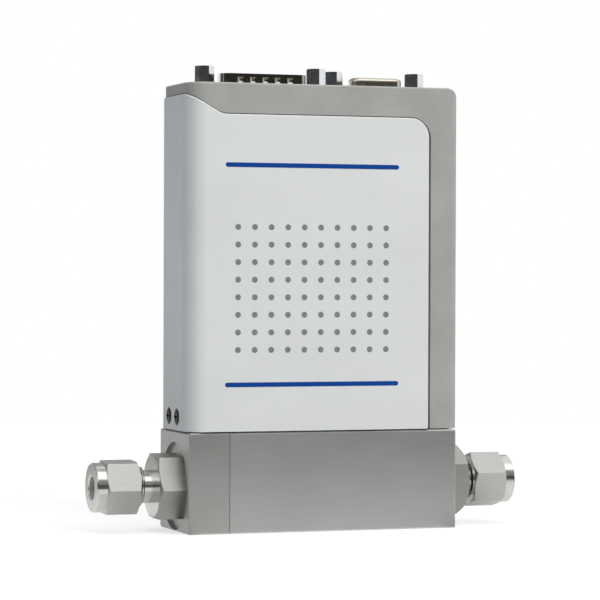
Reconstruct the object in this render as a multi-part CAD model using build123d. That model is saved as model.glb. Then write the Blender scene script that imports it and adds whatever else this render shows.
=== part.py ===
from build123d import *
from math import radians, sqrt, tan
import os

# Thermal mass flow controller with 1/4 inch tube fittings.
# Frame: origin at the middle of the base block's underside, X along the flow
# from inlet to outlet, -Y towards the printed side, +Z up. Millimetres.

# ---------------------------------------------------------------- base block
block_length = 79.8
block_depth = 28.4
block_height = 28.2
block_chamfer = 0.4
adapter_length = 11.9
seam_groove_width = 0.15
seam_groove_depth = 0.5
register_radius = 6.0
register_length = 1.2
fit_clearance = 0.05
port_height = 12.7
flow_radius = 2.4
tapped_hole_radius = 1.65
tapped_hole_depth = 6.0
tapped_hole_spacing = 50.0

# ------------------------------------------- straight-thread port and O-ring
spotface_radius = 12.4
spotface_depth = 1.3
port_thread_radius = 7.1
port_thread_depth = 9.2
gland_radius = 8.15
gland_depth = 2.4
undercut_radius = 6.1
stub_length = 9.0

# --------------------------------------------------------- tube end fittings
tube_radius = 3.175
tube_clearance = 0.08
body_hex_flats = 17.46
body_hex_length = 8.0
hex_chamfer_angle = 25.0
hex_chamfer_inset = 0.15
thread_lead = 0.5
neck_radius = 4.65
neck_length = 3.2
body_thread_radius = 5.45
body_thread_length = 6.9
tube_stop_offset = 1.5
mouth_cone_radius = 4.2
mouth_cone_length = 3.6
nut_hex_flats = 14.29
nut_length = 12.7
nut_collar_radius = 6.95
nut_collar_length = 2.9
nut_wall = 3.0
nut_edge_chamfer = 0.35
inlet_nut_gap = 4.8
outlet_nut_gap = 2.4
back_ferrule_length = 1.1
back_ferrule_radius = 4.6
back_ferrule_nose_radius = 3.8
front_ferrule_clearance = 0.05
front_ferrule_nose_length = 2.5
# turns lift the corner that faces the printed side, in degrees
inlet_body_turn = -3.8
inlet_nut_turn = -4.1
outlet_body_turn = 30.0
outlet_nut_turn = 16.0

# ------------------------------------------------------------------- housing
housing_overhang = 0.55
housing_gap = 0.3
housing_height = 97.3
cover_wall = 1.4
cover_corner_radius = 5.5
cover_lip_radius = 0.4
cover_proud = 0.5
cover_top_drop = 8.8
cover_end_rise = 5.8
cover_slope_angle = 30.0
cover_slope_blend = 6.5
cover_edge_radius = 5.5
shell_strip_width = 9.1
top_seam = 0.25
side_seam = 0.7
shell_wall = 2.0
shell_top = 2.15
shell_end_radius = 2.0
shell_top_end_radius = 3.9
shell_top_edge = 0.6
ledge_width = 3.0
ledge_gap = 0.15

# ---------------------------------------------------------- housing fixings
cover_screw_spacing = 7.6
cover_screw_rise = 3.8
cover_screw_radius = 1.2
cover_screw_head_radius = 2.15
cover_screw_head_length = 1.2
cover_screw_rim_length = 0.8
cover_screw_crown_radius = 1.55
cover_screw_seat_radius = 2.4
cover_screw_seat_web = 0.5
screw_hole_clearance = 0.15
cross_recess_width = 0.6
cross_recess_share = 0.62
cross_recess_depth = 0.7

# ------------------------------------------------------------------ brackets
bracket_thickness = 1.2
bracket_half_width = 7.0
bracket_top_drop = 4.0
bracket_foot = 6.4
bracket_gap = 0.35
bracket_tab_length = 8.0
bracket_tab_height = 8.0
# tabs: the upper below the board's upper edge, the lower above its lower edge
bracket_tab_inset = 8.0
bracket_tab_rise = 10.0
small_screw_radius = 1.2
small_screw_head_radius = 2.2
small_screw_head_length = 1.6
small_screw_rim_length = 1.0
small_screw_crown_radius = 1.55
small_screw_grip = 5.0

# ------------------------------------------------------------ circuit boards
board_thickness = 1.6
board_front = 3.0
board_coil_gap = 9.0
board_top_gap = 1.4
board_end_gap = 0.6
header_length = 40.0
header_depth = 3.5
header_height = 5.0
connector_board_end_gap = 2.45
connector_board_depth = 18.0
# each chip: X, height above the board's lower edge, length, height, thickness
chips = ((-14, 22, 12, 12, 1.6), (6, 26, 7, 5, 1.4), (8, 12, 9, 7, 1.8), (-20, 8, 6, 4, 1.4))

# ------------------------------------------------- subminiature D connectors
plug_inset = 25.25
plug_shift = -1.5
plug_hole_spacing = 33.32
plug_shell_width = 26.25
plug_shell_depth = 9.36
plug_shell_height = 3.1
plug_flange_length = 39.2
plug_pin_counts = (8, 7)
plug_pin_drop = 1.0
socket_inset = 20.0
socket_shift = 2.0
socket_hole_spacing = 24.99
socket_shell_width = 16.33
socket_shell_depth = 7.9
socket_shell_height = 3.15
socket_flange_length = 30.8
socket_pin_counts = (5, 4)
socket_rim_radius = 1.1
socket_window_inset = 1.35
socket_face_drop = 0.2
socket_contact_drop = 0.8
socket_contact_depth = 4.0
d_shell_wall = 0.5
d_side_angle = 10.0
d_corner_radius = 2.5
d_flange_depth = 12.5
d_flange_thickness = 0.8
d_body_length = 11.55
d_boss_radius = 2.35
d_boss_length = 2.0
d_block_gap = 0.5
d_block_inset = 1.0
d_cutout_clearance = 0.3
d_pin_pitch = 2.77
d_row_pitch = 2.84
d_pin_radius = 0.5
d_pin_tip_radius = 0.2
d_socket_hole_radius = 0.85
d_floor_height = 0.4
dimple_count = 5
dimple_pitch = 3.7
dimple_width = 1.9
dimple_height = 1.8
dimple_rise = 1.25
dimple_depth = 0.35
dimple_taper = 62.0
jack_hex_flats = 4.76
plug_jack_height = 5.2
socket_jack_height = 4.75
jack_thread_radius = 1.15
jack_thread_depth = 4.4
jack_stud_radius = 1.35
# each standoff stops at its own angle, in degrees
plug_jack_turns = (20.0, 29.0)
socket_jack_turns = (27.0, 29.0)
jack_chamfer = 0.15

# -------------------------------------------------------------- flow sensor
sensor_inset = 16.5
sensor_base_length = 30.0
sensor_base_depth = 13.0
sensor_base_height = 5.0
sensor_leg_spacing = 13.0
sensor_tube_radius = 0.45
sensor_tube_height = 15.0
sensor_bend_radius = 3.0
sensor_port_radius = 0.9
sensor_seal_radius = 2.0
sensor_seal_height = 0.8
winding_radius = 1.1
winding_length = 3.0
winding_spacing = 4.6
sensor_cover_length = 19.0
sensor_cover_wall = 1.0
sensor_cover_height = 22.0
sensor_screw_spacing = 25.0

# ------------------------------------------------------------ flow restrictor
restrictor_radius = 4.7
restrictor_length = 24.0
restrictor_groove_count = 12
restrictor_groove_radius = 0.45
restrictor_bore_clearance = 0.08
restrictor_bore_length = 27.0

# -------------------------------------------------------------- control valve
valve_inset = 19.9
chamber_radius = 5.6
chamber_rise = 6.0
passage_radius = 1.2
seat_radius = 3.4
seat_height = 3.0
seat_rise = 1.0
orifice_radius = 0.5
seat_land_radius = 1.5
seal_counterbore_radius = 7.0
seal_counterbore_depth = 1.6
stem_flange_radius = 11.0
stem_flange_thickness = 3.0
stem_outer_radius = 5.0
stem_spigot_length = 6.2
stem_height = 23.8
pole_length = 6.0
stem_post_radius = 3.0
stem_post_end = 1.5
stem_screw_spacing = 17.0
plunger_radius = 4.0
plunger_clearance = 0.08
plunger_travel = 0.4
plunger_lift_margin = 0.05
seat_gap = 0.02
plunger_recess_radius = 2.8
plunger_recess_depth = 5.0
plunger_face_radius = 2.0
plunger_taper_length = 2.0
spring_radius = 2.2
spring_wire_radius = 0.3
spring_turns = 4
coil_gap = 0.1
coil_lift = 6.8
coil_height = 22.0
coil_flange = 1.0
bobbin_wall = 0.8
winding_outer_radius = 8.8
yoke_outer_radius = 10.2
yoke_wall = 1.0
coil_nut_flats = 10.0
coil_nut_height = 4.0

# ------------------------------------------------------------ worked-out sizes
block_end = block_length / 2
block_face = block_depth / 2
seam_x = -block_end + adapter_length
housing_end = block_end + housing_overhang
housing_bottom = block_height + housing_gap
housing_top = housing_bottom + housing_height
cover_front_height = housing_top - cover_top_drop
cover_end_height = cover_front_height + cover_end_rise
cover_right_edge = housing_end - shell_strip_width
cover_screw_height = housing_bottom + cover_screw_rise
shell_face = block_face - cover_proud
tube_bore_radius = tube_radius + tube_clearance
o_ring_wire_radius = (gland_radius - undercut_radius) / 2 - fit_clearance
spigot_radius = chamber_radius - fit_clearance
seal_wire_radius = (seal_counterbore_radius - spigot_radius) / 2 - fit_clearance
body_face = -spotface_depth + body_hex_length
mouth = body_face + neck_length + body_thread_length
flange_top = housing_top - shell_top
flange_bottom = flange_top - d_flange_thickness
connector_board_top = flange_bottom - d_body_length
connector_board_bottom = connector_board_top - board_thickness
board_top = connector_board_bottom - board_top_gap
bracket_top = board_top - bracket_top_drop
plug_center = (-housing_end + plug_inset, plug_shift)
socket_center = (housing_end - socket_inset, socket_shift)
sensor_x = seam_x + sensor_inset
valve_x = block_end - valve_inset
chamber_floor = port_height + chamber_rise
stem_spigot_bottom = block_height - stem_spigot_length
stem_top = block_height + stem_height
coil_bottom = block_height + coil_lift
bracket_x = housing_end - max(cover_wall, shell_wall) - bracket_gap
pole_bottom = stem_top - pole_length
seat_top = chamber_floor + seat_rise
plunger_bottom = seat_top + seat_gap
plunger_top = pole_bottom - plunger_travel - plunger_lift_margin
stem_bore_radius = plunger_radius + plunger_clearance
coil_top = coil_bottom + coil_height
board_bottom = coil_top + board_coil_gap
bracket_tab_heights = (board_bottom + bracket_tab_rise, board_top - bracket_tab_inset)
FAR = 4 * block_length
OVER = 1.0  # how far a cut starts or ends outside the face it opens

inlet_place = Pos(-block_end, 0, port_height) * Rot(0, 0, 180)
outlet_place = Pos(block_end, 0, port_height)


# ------------------------------------------------------------- shape helpers
def turned(*points):
    """Solid turned round the X axis from an outline of (x, radius) points."""
    outline = Polyline(*points, close=True)
    return revolve(make_face(outline), Axis.X)


def spun(*points):
    """Solid turned round the Z axis from an outline of (radius, z) points."""
    outline = Polyline(*[(r, 0, z) for r, z in points], close=True)
    return revolve(make_face(outline), Axis.Z)


def rod(radius, x0, x1):
    """Round bar along X."""
    return turned((x0, 0), (x1, 0), (x1, radius), (x0, radius))


def post(radius, z0, z1):
    """Round bar along Z."""
    return spun((0, z0), (radius, z0), (radius, z1), (0, z1))


def ring_x(center_x, radius, wire_radius):
    """O-ring round the X axis."""
    return Pos(center_x, 0, 0) * Rot(0, 90, 0) * Torus(radius, wire_radius)


def box_between(x0, x1, y0, y1, z0, z1):
    middle = Pos((x0 + x1) / 2, (y0 + y1) / 2, (z0 + z1) / 2)
    return middle * Box(x1 - x0, y1 - y0, z1 - z0)


def drilled(start, end, radius):
    """Straight drilling between two points."""
    way = Vector(*end) - Vector(*start)
    circle = Plane(origin=start, z_dir=way) * Circle(radius)
    return extrude(circle, way.length)


def hex_bar_end(flats, x, inward, inset):
    """Outline points of one end of a hexagon bar, out to its corners."""
    corner = flats / sqrt(3)
    if inset == 0:
        return [(x, corner)]
    face_radius = flats / 2 - inset
    rise = (corner - face_radius) * tan(radians(hex_chamfer_angle))
    return [(x, face_radius), (x + inward * rise, corner)]


def hex_bar_x(flats, x0, x1, turn, start_inset, end_inset):
    """Hexagon bar along X; turn lifts its front corner, insets chamfer its ends."""
    far_end = hex_bar_end(flats, x1, -1, end_inset)
    near_end = hex_bar_end(flats, x0, 1, start_inset)
    blank = turned((x0, 0), (x1, 0), *far_end, *reversed(near_end))
    section = Plane(origin=(x0, 0, 0), x_dir=(0, -1, 0), z_dir=(1, 0, 0)) * Rot(0, 0, -turn)
    prism = extrude(section * RegularPolygon(flats / sqrt(3), 6), x1 - x0)
    return blank & prism


def d_outline(width, depth, radius):
    """Outline of a subminiature D shell, wide side towards -Y."""
    lean = depth * tan(radians(d_side_angle))
    corners = [
        (-width / 2, -depth / 2),
        (width / 2, -depth / 2),
        (width / 2 - lean, depth / 2),
        (-width / 2 + lean, depth / 2),
    ]
    face = make_face(Polyline(*corners, close=True))
    return fillet(face.vertices(), radius)


def pair_along_x(shape, center, spacing):
    return [Pos(center + side * spacing / 2, 0, 0) * shape for side in (-1, 1)]


def cross_recess(radius, top, depth):
    """Two crossed slots sunk from a screw head's top, axis along Z."""
    length = 2 * radius * cross_recess_share
    bar = Box(length, cross_recess_width, depth)
    return Pos(0, 0, top - depth / 2) * (bar + Rot(0, 0, 90) * bar)


def small_screw(grip):
    """Pan-head screw with its head on the plane z = 0 and its shank below."""
    head = spun(
        (0, 0),
        (small_screw_head_radius, 0),
        (small_screw_head_radius, small_screw_rim_length),
        (small_screw_crown_radius, small_screw_head_length),
        (0, small_screw_head_length),
    )
    screw = head + post(small_screw_radius, -grip, 0)
    return screw - cross_recess(small_screw_head_radius, small_screw_head_length, cross_recess_depth)


# --------------------------------------------------------------- wetted body
def port_cut(end_x, outward):
    """Spotface, O-ring gland and thread bore, seen from the block's end."""
    floor = -spotface_depth
    cut = rod(spotface_radius, floor, FAR)
    cut += rod(gland_radius, floor - gland_depth, floor)
    cut += rod(port_thread_radius, floor - port_thread_depth, floor)
    turn = 0 if outward > 0 else 180
    return Pos(end_x, 0, port_height) * Rot(0, 0, turn) * cut


def full_block():
    block = box_between(-block_end, block_end, -block_face, block_face, 0, block_height)
    return chamfer(block.edges(), block_chamfer)


def block_slice(x0, x1):
    return full_block() & box_between(x0, x1, -FAR, FAR, -FAR, FAR)


def tapped_holes(spacing, z0, z1):
    return pair_along_x(post(tapped_hole_radius, z0, z1), 0, spacing)


def bracket_screw_x():
    return bracket_x - bracket_foot / 2 - bracket_thickness / 2


def inlet_adapter():
    body = block_slice(-FAR, seam_x)
    groove = box_between(seam_x - seam_groove_width, seam_x, -FAR, FAR, -FAR, FAR)
    inner_face = block_face - seam_groove_depth
    core = box_between(
        -FAR, FAR, -inner_face, inner_face, seam_groove_depth, block_height - seam_groove_depth
    )
    body -= groove - core
    body -= port_cut(-block_end, -1)
    register = rod(register_radius, seam_x - register_length, seam_x + register_length)
    body += Pos(0, 0, port_height) * register
    body -= Pos(0, 0, port_height) * rod(flow_radius, -block_end, 0)
    screw_bore = post(small_screw_radius, block_height - small_screw_grip, FAR)
    return body - Pos(-bracket_screw_x(), 0, 0) * screw_bore


def base_block():
    body = block_slice(seam_x, FAR)
    body -= port_cut(block_end, 1)
    axis = Pos(0, 0, port_height)
    register = rod(register_radius + fit_clearance, seam_x - OVER, seam_x + register_length + fit_clearance)
    bore_start = seam_x + register_length
    bore_end = bore_start + restrictor_bore_length
    bore = rod(restrictor_radius + restrictor_bore_clearance, bore_start, bore_end)
    outlet = rod(flow_radius, valve_x - flow_radius, block_end)
    body -= [axis * register, axis * bore, axis * outlet]
    body -= tapped_holes(tapped_hole_spacing, 0, tapped_hole_depth)
    body -= Pos(valve_x, 0, 0) * post(chamber_radius, chamber_floor, FAR)
    body -= Pos(valve_x, 0, 0) * post(seat_radius, seat_top - seat_height, FAR)
    body -= Pos(valve_x, 0, 0) * post(passage_radius, port_height, chamber_floor)
    seal_bore = post(seal_counterbore_radius, block_height - seal_counterbore_depth, FAR)
    body -= Pos(valve_x, 0, 0) * seal_bore
    chamber_side = (valve_x - chamber_radius + passage_radius, 0, chamber_floor + passage_radius)
    body -= drilled((bore_end - passage_radius, 0, port_height), chamber_side, passage_radius)
    body -= pair_along_x(post(sensor_port_radius, port_height, FAR), sensor_x, sensor_leg_spacing)
    screw_bore = post(small_screw_radius, block_height - small_screw_grip, FAR)
    body -= pair_along_x(screw_bore, sensor_x, sensor_screw_spacing)
    body -= pair_along_x(screw_bore, valve_x, stem_screw_spacing)
    return body - Pos(bracket_screw_x(), 0, 0) * screw_bore


def flow_restrictor():
    start = seam_x + register_length + fit_clearance
    core = rod(restrictor_radius, start, start + restrictor_length)
    groove = rod(restrictor_groove_radius, start - OVER, start + restrictor_length + OVER)
    step = 360 / restrictor_groove_count
    for index in range(restrictor_groove_count):
        core -= Rot(index * step, 0, 0) * Pos(0, 0, restrictor_radius) * groove
    return Pos(0, 0, port_height) * core


# ------------------------------------------------------- compression fittings
def fitting_body(turn):
    """Hexagon, O-ring stub, neck, thread and tube socket; local X points out."""
    floor = -spotface_depth
    body = hex_bar_x(body_hex_flats, floor, body_face, turn, 0, hex_chamfer_inset)
    stub_radius = port_thread_radius - fit_clearance
    body += rod(undercut_radius, floor - gland_depth, floor)
    body += rod(stub_radius, floor - stub_length, floor - gland_depth)
    thread_start = body_face + neck_length
    body += rod(neck_radius, body_face, thread_start)
    body += turned(
        (thread_start, 0),
        (mouth, 0),
        (mouth, body_thread_radius - thread_lead),
        (mouth - thread_lead, body_thread_radius),
        (thread_start + thread_lead, body_thread_radius),
        (thread_start, neck_radius),
    )
    body -= rod(flow_radius, floor - stub_length, mouth)
    body -= rod(tube_bore_radius, body_face + tube_stop_offset, mouth)
    cone_end = mouth - mouth_cone_length
    cone = turned((cone_end, 0), (mouth, 0), (mouth, mouth_cone_radius), (cone_end, tube_bore_radius))
    return body - cone


def nut_end(gap):
    return body_face + gap + nut_length


def fitting_nut(turn, gap):
    """Hexagon nut with a round collar on its outer end."""
    start = body_face + gap
    outer = nut_end(gap)
    hex_end = outer - nut_collar_length
    nut = hex_bar_x(nut_hex_flats, start, hex_end, turn, hex_chamfer_inset, hex_chamfer_inset)
    nut += turned(
        (hex_end, 0),
        (outer, 0),
        (outer, nut_collar_radius - nut_edge_chamfer),
        (outer - nut_edge_chamfer, nut_collar_radius),
        (hex_end, nut_collar_radius),
    )
    shoulder = outer - nut_wall
    thread_radius = body_thread_radius + fit_clearance
    nut -= rod(thread_radius, start, shoulder)
    nut -= rod(tube_bore_radius, start, outer)
    mouth_edge = tube_bore_radius + nut_edge_chamfer
    nut -= turned(
        (outer - nut_edge_chamfer, 0),
        (outer, 0),
        (outer, mouth_edge),
        (outer - nut_edge_chamfer, tube_bore_radius),
    )
    return nut


def back_ferrule(gap):
    """Driving ring against the nut's shoulder."""
    seat = nut_end(gap) - nut_wall
    start = seat - back_ferrule_length
    return turned(
        (start, tube_bore_radius),
        (seat, tube_bore_radius),
        (seat, back_ferrule_radius),
        (start, back_ferrule_nose_radius),
    )


def front_ferrule(gap):
    """Cone between the back ferrule and the body's mouth."""
    rear = nut_end(gap) - nut_wall - back_ferrule_length
    shoulder_radius = mouth_cone_radius
    cone_rate = (mouth_cone_radius - tube_bore_radius) / mouth_cone_length
    shoulder = mouth + front_ferrule_clearance
    nose = mouth - front_ferrule_nose_length
    nose_radius = mouth_cone_radius - (mouth - nose) * cone_rate - front_ferrule_clearance
    edge_radius = mouth_cone_radius - front_ferrule_clearance
    return turned(
        (nose, tube_bore_radius),
        (rear, tube_bore_radius),
        (rear, shoulder_radius),
        (shoulder, shoulder_radius),
        (mouth, edge_radius),
        (nose, nose_radius),
    )


def port_o_ring():
    center = -spotface_depth - gland_depth / 2
    return ring_x(center, (gland_radius + undercut_radius) / 2, o_ring_wire_radius)


# --------------------------------------------------------------- the housing
def plan_outline(x0, x1, half_depth, left_radius, right_radius):
    """Plan view of the housing: a rectangle with its upright corners rounded."""
    corners = [(x0, -half_depth), (x1, -half_depth), (x1, half_depth), (x0, half_depth)]
    face = make_face(Polyline(*corners, close=True))
    left = face.vertices().filter_by_position(Axis.X, x0 - OVER, x0 + OVER)
    face = fillet(left, left_radius)
    right = face.vertices().sort_by(Axis.X)[-2:]
    return fillet(right, right_radius) if right_radius else face


def cover_elevation(top_gap, side_gap):
    """Front view of the wrap-around cover, grown by a seam on its top and side."""
    run = tan(radians(cover_slope_angle))
    top = cover_front_height + top_gap
    end_top = cover_end_height + top_gap
    slope_x = -housing_end + (end_top - top) / run
    right = cover_right_edge + side_gap
    corners = [
        (-FAR, housing_bottom - FAR),
        (right, housing_bottom - FAR),
        (right, top),
        (slope_x, top),
        (-housing_end, end_top),
        (-FAR, end_top),
    ]
    face = make_face(Polyline(*[(x, 0, z) for x, z in corners], close=True))
    blend = face.vertices().sort_by_distance((slope_x, 0, top))[0]
    face = fillet(blend, cover_slope_blend)
    corner = face.vertices().sort_by_distance((right, 0, top))[0]
    return fillet(corner, cover_edge_radius + side_gap)


def through_y(face):
    """Extrude an X-Z face both ways along Y, past the whole object."""
    return extrude(face, FAR, both=True)


def wrap_cover():
    """Moulded cover that wraps round the printed side, the inlet end and the back."""
    inner_radius = cover_corner_radius - cover_wall
    outer = plan_outline(-housing_end, FAR, block_face, cover_corner_radius, 0)
    inner = plan_outline(-housing_end + cover_wall, 2 * FAR, block_face - cover_wall, inner_radius, 0)
    channel = extrude(outer - inner, housing_top - housing_bottom)
    cover = (Pos(0, 0, housing_bottom) * channel) & through_y(cover_elevation(0, 0))
    outside = -housing_end
    for side in (-1, 1):
        y = side * cover_screw_spacing / 2
        place = Pos(outside, y, cover_screw_height)
        seat = rod(cover_screw_seat_radius, -OVER, cover_wall - cover_screw_seat_web)
        hole = rod(cover_screw_radius + screw_hole_clearance, -OVER, cover_wall + OVER)
        cover -= [place * seat, place * hole]
    return fillet(cover_lip_edges(cover), cover_lip_radius)


def on_cover_skin(point):
    """Whether a point lies on the cover's outside surface in plan."""
    inward = point.X + housing_end - cover_corner_radius
    outward = abs(point.Y) - block_face + cover_corner_radius
    if inward < 0 and outward > 0:
        reach = sqrt(inward ** 2 + outward ** 2)
    else:
        reach = max(-inward, outward)
    return abs(reach - cover_corner_radius) < 0.01


def cover_lip_edges(cover):
    """Outer edges of the cover along its top and outlet-side outline."""
    lip = []
    for edge in cover.edges():
        start, middle, end = edge @ 0, edge @ 0.5, edge @ 1
        upright = abs(start.X - end.X) + abs(start.Y - end.Y) < 0.01
        inside_run = middle.X < cover_right_edge - OVER
        if not all(on_cover_skin(point) for point in (start, middle, end)):
            continue
        if middle.Z < housing_bottom + OVER or (upright and inside_run):
            continue
        if middle.Z < cover_screw_height + 2 * cover_screw_seat_radius and inside_run:
            continue
        lip.append(edge)
    return lip


def shell_envelope():
    """Outside of the metal shell, before it is hollowed."""
    height = housing_top - housing_bottom
    left = -housing_end + cover_proud
    left_radius = cover_corner_radius - cover_proud
    plan = plan_outline(left, housing_end, shell_face, left_radius, shell_end_radius)
    solid = Pos(0, 0, housing_bottom) * extrude(plan, height)
    solid = fillet(solid.edges().group_by(Axis.Z)[-1], shell_top_edge)
    corners = [(-FAR, -FAR), (housing_end, -FAR), (housing_end, housing_top), (-FAR, housing_top)]
    front_view = make_face(Polyline(*[(x, 0, z) for x, z in corners], close=True))
    top_corner = front_view.vertices().sort_by_distance((housing_end, 0, housing_top))[0]
    return solid & through_y(fillet(top_corner, shell_top_end_radius))


def d_connectors():
    """Centre, hole spacing, shell width and depth of the two top connectors."""
    return (
        (plug_center, plug_hole_spacing, plug_shell_width, plug_shell_depth),
        (socket_center, socket_hole_spacing, socket_shell_width, socket_shell_depth),
    )


def top_shell():
    """Metal shell: top, outlet end, the rims round the cover and their ledge."""
    solid = shell_envelope()
    left = -housing_end + cover_proud + shell_wall
    right = housing_end - shell_wall
    left_radius = cover_corner_radius - cover_proud - shell_wall
    room = plan_outline(left, right, shell_face - shell_wall, left_radius, shell_end_radius / 2)
    solid -= Pos(0, 0, housing_bottom - OVER) * extrude(room, flange_top - housing_bottom + OVER)
    ledge_inset = cover_wall + ledge_gap
    ledge_radius = cover_corner_radius - ledge_inset
    ledge = plan_outline(-housing_end + ledge_inset, FAR, block_face - ledge_inset, ledge_radius, 0)
    ledge = Pos(0, 0, -FAR / 2) * extrude(ledge, 2 * FAR)
    solid -= through_y(cover_elevation(top_seam, side_seam)) - ledge
    solid -= through_y(cover_elevation(-ledge_width, -ledge_width))
    for center, spacing, width, depth in d_connectors():
        slack = 2 * d_cutout_clearance
        window = d_outline(width + slack, depth + slack, d_corner_radius + d_cutout_clearance)
        solid -= Pos(*center, flange_top - OVER) * extrude(window, shell_top + 2 * OVER)
        hole = post(jack_stud_radius + screw_hole_clearance, flange_top - OVER, housing_top + OVER)
        solid -= [Pos(*center) * piece for piece in pair_along_x(hole, 0, spacing)]
    outside = Pos(housing_end, 0, cover_screw_height)
    for side in (-1, 1):
        place = outside * Pos(0, side * cover_screw_spacing / 2, 0)
        seat = rod(cover_screw_seat_radius, cover_screw_seat_web - shell_wall, OVER)
        hole = rod(cover_screw_radius + screw_hole_clearance, -shell_wall - OVER, OVER)
        solid -= [place * seat, place * hole]
    return solid


def cover_screws():
    """Four cross-recessed screws: two through the cover, two through the shell."""
    screws = []
    profile = (
        (0, 0),
        (cover_screw_head_radius, 0),
        (cover_screw_head_radius, cover_screw_rim_length),
        (cover_screw_crown_radius, cover_screw_head_length),
        (0, cover_screw_head_length),
    )
    recess = cross_recess(cover_screw_head_radius, cover_screw_head_length, cross_recess_depth)
    for end, seat in ((-1, cover_wall - cover_screw_seat_web), (1, shell_wall - cover_screw_seat_web)):
        inside = housing_end - bracket_x
        shank = post(cover_screw_radius, seat - inside - bracket_thickness, 0)
        screw = spun(*profile) + shank - recess
        for side in (-1, 1):
            place = Pos(end * (housing_end - seat), side * cover_screw_spacing / 2, cover_screw_height)
            screws.append(place * Rot(0, 90 * end, 0) * screw)
    return screws


# ------------------------------------------------------------------ brackets
def end_bracket(end):
    """Bent sheet upright on the block; end is -1 at the inlet, 1 at the outlet."""
    x_outer = bracket_x
    x_inner = bracket_x - bracket_thickness
    tab_face = board_front + board_thickness
    upright = box_between(
        x_inner, x_outer, -bracket_half_width, tab_face + bracket_thickness, block_height, bracket_top
    )
    foot_inner = x_outer - bracket_foot
    foot = box_between(
        foot_inner, x_outer, -bracket_half_width, bracket_half_width, block_height,
        block_height + bracket_thickness,
    )
    plate = upright + foot
    for height in bracket_tab_heights:
        plate += box_between(
            x_inner - bracket_tab_length, x_outer, tab_face, tab_face + bracket_thickness,
            height - bracket_tab_height / 2, height + bracket_tab_height / 2,
        )
        hole = Pos(board_screw_x(), 0, height) * Rot(90, 0, 0) * post(small_screw_radius, -FAR, FAR)
        plate -= hole & box_between(-FAR, x_inner, -FAR, FAR, -FAR, FAR)
    screw_hole = post(small_screw_radius + screw_hole_clearance, 0, FAR)
    clear_zone = box_between(-FAR, x_inner, -FAR, FAR, 0, block_height + FAR)
    plate -= Pos(bracket_screw_x(), 0, 0) * screw_hole & clear_zone
    for side in (-1, 1):
        place = Pos(0, side * cover_screw_spacing / 2, cover_screw_height)
        plate -= place * rod(cover_screw_radius, x_inner - OVER, x_outer + OVER)
    return plate if end > 0 else mirror(plate, Plane.YZ)


def board_screw_x():
    return bracket_x - bracket_thickness - bracket_tab_length / 2


def bracket_screws():
    top = block_height + bracket_thickness
    screw = small_screw(small_screw_grip + bracket_thickness)
    return [Pos(side * bracket_screw_x(), 0, top) * screw for side in (-1, 1)]


# ------------------------------------------------------------ circuit boards
def main_board():
    end = bracket_x - bracket_thickness - board_end_gap
    back = board_front + board_thickness
    board = box_between(-end, end, board_front, back, board_bottom, board_top)
    for side in (-1, 1):
        for height in bracket_tab_heights:
            place = Pos(side * board_screw_x(), board_front + board_thickness / 2, height)
            hole = post(small_screw_radius + screw_hole_clearance, -board_thickness, board_thickness)
            board -= place * Rot(90, 0, 0) * hole
    return board


def board_screws():
    screws = []
    screw = small_screw(board_thickness + bracket_thickness)
    for side in (-1, 1):
        for height in bracket_tab_heights:
            place = Pos(side * board_screw_x(), board_front, height)
            screws.append(place * Rot(90, 0, 0) * screw)
    return screws


def board_chips():
    """Processor, amplifier and driver packages on the main board."""
    packages = []
    for x, z, length, height, rise in chips:
        packages.append(box_between(
            x - length / 2, x + length / 2, board_front - rise, board_front,
            board_bottom + z - height / 2, board_bottom + z + height / 2,
        ))
    return packages


def board_header():
    """Right-angle plug that joins the main board to the connector board."""
    return box_between(
        -header_length / 2, header_length / 2, board_front - header_depth, board_front,
        connector_board_bottom - header_height, connector_board_bottom,
    )


def connector_board():
    half_length = housing_end - shell_wall - connector_board_end_gap
    half_depth = connector_board_depth / 2
    return box_between(
        -half_length, half_length, -half_depth, half_depth, connector_board_bottom, connector_board_top
    )


# ------------------------------------------------- subminiature D connectors
def pin_places(counts):
    """Plan positions of the contacts, long row towards -Y."""
    places = []
    for row, count in enumerate(counts):
        y = (row - 0.5) * d_row_pitch
        for index in range(count):
            places.append(((index - (count - 1) / 2) * d_pin_pitch, y))
    return places


def inset_outline(width, depth, inset):
    """D outline drawn in from a shell's outside by the same distance all round."""
    return d_outline(width - 2 * inset, depth - 2 * inset, d_corner_radius - inset)


def d_flange(length, spacing, window):
    """Steel flange under the top, with a swaged thread boss at each end."""
    outline = RectangleRounded(length, d_flange_depth, d_corner_radius / 2)
    flange = Pos(0, 0, flange_bottom) * extrude(outline, d_flange_thickness)
    boss = post(d_boss_radius, flange_bottom - d_boss_length, flange_bottom)
    flange += pair_along_x(boss, 0, spacing)
    bore = post(jack_stud_radius + fit_clearance, flange_bottom - d_boss_length - OVER, flange_top + OVER)
    flange -= pair_along_x(bore, 0, spacing)
    return flange - Pos(0, 0, flange_bottom - OVER) * extrude(window, d_flange_thickness + 2 * OVER)


def d_shell(width, depth, top, length, spacing):
    """Drawn steel D shell on its flange."""
    outer = d_outline(width, depth, d_corner_radius)
    inner = inset_outline(width, depth, d_shell_wall)
    wall = Pos(0, 0, flange_bottom) * extrude(outer - inner, top - flange_bottom)
    return wall + d_flange(length, spacing, inner)


def pressed_dent(width, height):
    """Tapered dent whose mouth lies on the plane y = 0 and whose floor is behind it."""
    mouth_face = Plane(origin=(0, 0, 0), x_dir=(1, 0, 0), z_dir=(0, 1, 0)) * Rectangle(width, height)
    return extrude(mouth_face, dimple_depth, taper=dimple_taper)


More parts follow.
